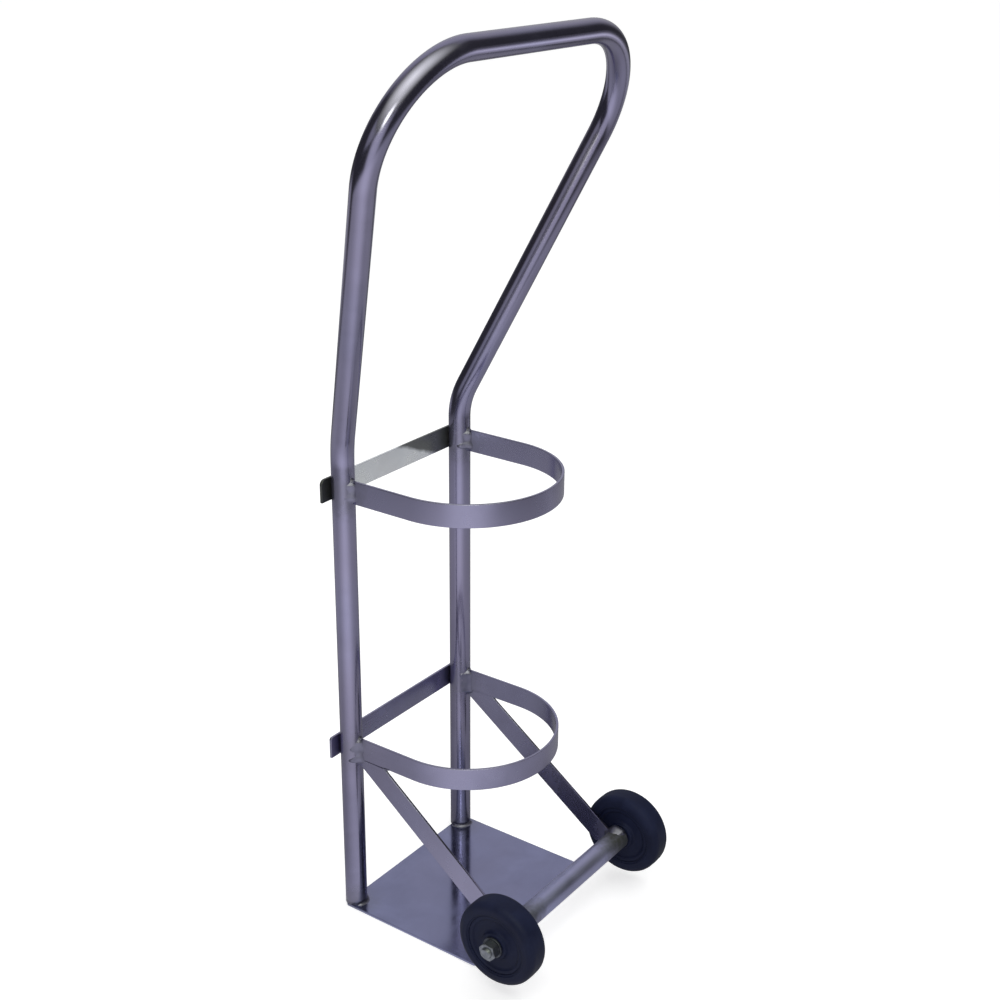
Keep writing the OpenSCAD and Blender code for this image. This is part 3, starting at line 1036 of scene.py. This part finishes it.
spot = n.add("ShaderNodeTexCoord").outputs["Object"]
away = n.vector("LENGTH", spot).outputs["Value"]


def heading(azimuth):
    """The cosine of the angle between a spot on the floor and an azimuth."""
    along = n.vector("DOT_PRODUCT", spot, tuple(direction(azimuth, 0))).outputs["Value"]
    return n.math("DIVIDE", along, away)


rise = n.math("POWER", n.math("MAXIMUM", heading(FLOOR_PEAK), 0.0), FLOOR_FALL)
level = n.math("ADD", n.math("MULTIPLY", rise, FLOOR_RISE), FLOOR_SIDE)
behind = n.math("MAXIMUM", heading(BACKDROP_AZIMUTH), 0.0)
level = n.math("SUBTRACT", level, n.math("MULTIPLY", behind, FLOOR_DIP))
# Painted shadow of the object: the reflected floor is dimmer close round it
level = n.math("MULTIPLY", level, n.smooth(away, *FLOOR_SHADOW_REACH, FLOOR_SHADOW_LEVEL, 1.0))
patch = n.smooth(away, *PATCH_EDGE, 1.0, 0.0)
lane = n.smooth(heading(LANE_AZIMUTH), *LANE_EDGE, 0.0, LANE_BRIGHT)
level = n.math("MULTIPLY", level, n.math("MAXIMUM", patch, lane))
backdrop = n.smooth(heading(BACKDROP_AZIMUTH), *BACKDROP_SIDES, 0.0, BACKDROP_BRIGHT)
backdrop = n.math("MULTIPLY", backdrop, n.smooth(away, *BACKDROP_FOOT, 0.0, 1.0))
corner = n.smooth(heading(BACKDROP_CORNER), *BACKDROP_CORNER_EDGE, BACKDROP_DIM, 1.0)
backdrop = n.math("MULTIPLY", backdrop, corner)
edge_in = n.smooth(away, *BACKDROP_EDGE_FROM, 0.0, BACKDROP_EDGE)
edge_out = n.smooth(away, *BACKDROP_EDGE_TO, 1.0, 0.0)
far = n.smooth(away, *BACKDROP_FAR, 1.0, BACKDROP_FAR_DIM)
backdrop = n.math("MULTIPLY", backdrop, n.math("ADD", far, n.math("MULTIPLY", edge_in, edge_out)))
mirrored = n.math("MAXIMUM", n.math("MAXIMUM", level, backdrop), DARK)
diffuse = n.add("ShaderNodeBsdfDiffuse", {"Color": colour(*FLOOR_COLOUR)}).outputs[0]
glow = n.add("ShaderNodeEmission", {"Strength": n.math("MULTIPLY", n.direct, FLOOR_GLOW)}).outputs[0]
lit = n.add("ShaderNodeAddShader", {0: diffuse, 1: glow}).outputs[0]
seen = n.add("ShaderNodeEmission", {"Strength": mirrored}).outputs[0]
surface = n.add("ShaderNodeMixShader", {0: n.glossy, 1: lit, 2: seen}).outputs[0]
n.add("ShaderNodeOutputMaterial", {"Surface": surface})
sheet("studio_floor", rectangle(-FLOOR_HALF, -FLOOR_HALF, FLOOR_HALF, FLOOR_HALF), floor_material)

# The world is white to the camera. In reflections it is dark, with a bright wall behind the object,
# a dimmer ceiling and a window on one side.
WORLD_FILL = 0.68
WALL_WAY = direction(128, 38)
WALL_EDGE = (54, 15)
WALL_BRIGHT = 0.54
CEILING_EDGE = (38, 52)
CEILING_BRIGHT = 0.28
WINDOW_WAY = direction(-98, 12)
WINDOW_EDGE = (32, 8)
WINDOW_BRIGHT = 0.42
world = bpy.data.worlds.new("studio")
scene.world = world
n = Surroundings(world)
outwards = n.add("ShaderNodeTexCoord").outputs["Generated"]
height = n.add("ShaderNodeSeparateXYZ", {0: outwards}).outputs["Z"]
wall = n.disc(outwards, WALL_WAY, *WALL_EDGE, DARK, WALL_BRIGHT)
rises = (math.sin(math.radians(degrees)) for degrees in CEILING_EDGE)
ceiling = n.smooth(height, *rises, 0.0, CEILING_BRIGHT)
window = n.disc(outwards, WINDOW_WAY, *WINDOW_EDGE, 0.0, WINDOW_BRIGHT)
room = n.math("MAXIMUM", n.math("MAXIMUM", wall, ceiling), window)
plain = n.span(n.direct, 0.0, 1.0, WORLD_FILL, 1.0)
strength = n.math("ADD", plain, n.math("MULTIPLY", n.glossy, n.math("SUBTRACT", room, plain)))
background = n.add("ShaderNodeBackground", {"Color": colour(1, 1, 1), "Strength": strength}).outputs[0]
n.add("ShaderNodeOutputWorld", {"Surface": background})

# Softboxes: round lights that are seen only in reflections
SOFTBOX_AIM = Vector((0, -0.12, 0.85))
SOFTBOX_SIDES = 48
SOFTBOX_FALL = 1.6
SOFTBOX_TINT = (1.0, 1.04, 0.77)


def softbox(name, at, radius, centre, rim):
    """A round soft light for the reflections, brightest in the middle."""
    material = bpy.data.materials.new(name)
    n = Surroundings(material)
    from_middle = n.vector("LENGTH", n.add("ShaderNodeTexCoord").outputs["Object"]).outputs["Value"]
    inside = n.span(from_middle, 0.0, radius, 1.0, 0.0)
    strength = n.math("MULTIPLY", n.math("POWER", inside, SOFTBOX_FALL), centre - rim)
    strength = n.math("ADD", strength, rim)
    sockets = {"Color": colour(*SOFTBOX_TINT), "Strength": strength}
    n.add("ShaderNodeOutputMaterial", {"Surface": n.add("ShaderNodeEmission", sockets).outputs[0]})
    made = sheet(name, circle(radius, SOFTBOX_SIDES), material)
    made.location = at
    made.rotation_euler = (at - SOFTBOX_AIM).to_track_quat("Z", "Y").to_euler()
    made.visible_camera = False
    made.visible_diffuse = False
    made.visible_transmission = False
    made.visible_shadow = False


TOP_DISTANCE = 3.2
top_at = SOFTBOX_AIM + direction(-45, 52) * TOP_DISTANCE
softbox("top_softbox", top_at, radius=4.57, centre=2.45, rim=0.15)
softbox("camera_softbox", CAMERA_AT, radius=0.30, centre=10.0, rim=2.0)

# Lamps
LAMP_AIM = Vector((0, -0.08, 0.5))
LAMP_DISTANCE = 2.4
LAMP_SIZE = 1.1


def lamp(name, azimuth, elevation, power):
    """A soft square lamp aimed at the object's middle. Reflections show the softboxes instead."""
    data = bpy.data.lights.new(name, "AREA")
    data.shape = "SQUARE"
    data.size = LAMP_SIZE
    data.energy = power
    made = bpy.data.objects.new(name, data)
    scene.collection.objects.link(made)
    way = direction(azimuth, elevation)
    made.location = LAMP_AIM + way * LAMP_DISTANCE
    made.rotation_euler = way.to_track_quat("Z", "Y").to_euler()
    made.visible_camera = False
    made.visible_glossy = False


lamp("key_lamp", -60, 48, power=12.0)
lamp("fill_lamp", 20, 55, power=8.0)
lamp("rear_lamp", 150, 50, power=8.0)

scene.view_settings.view_transform = "Standard"
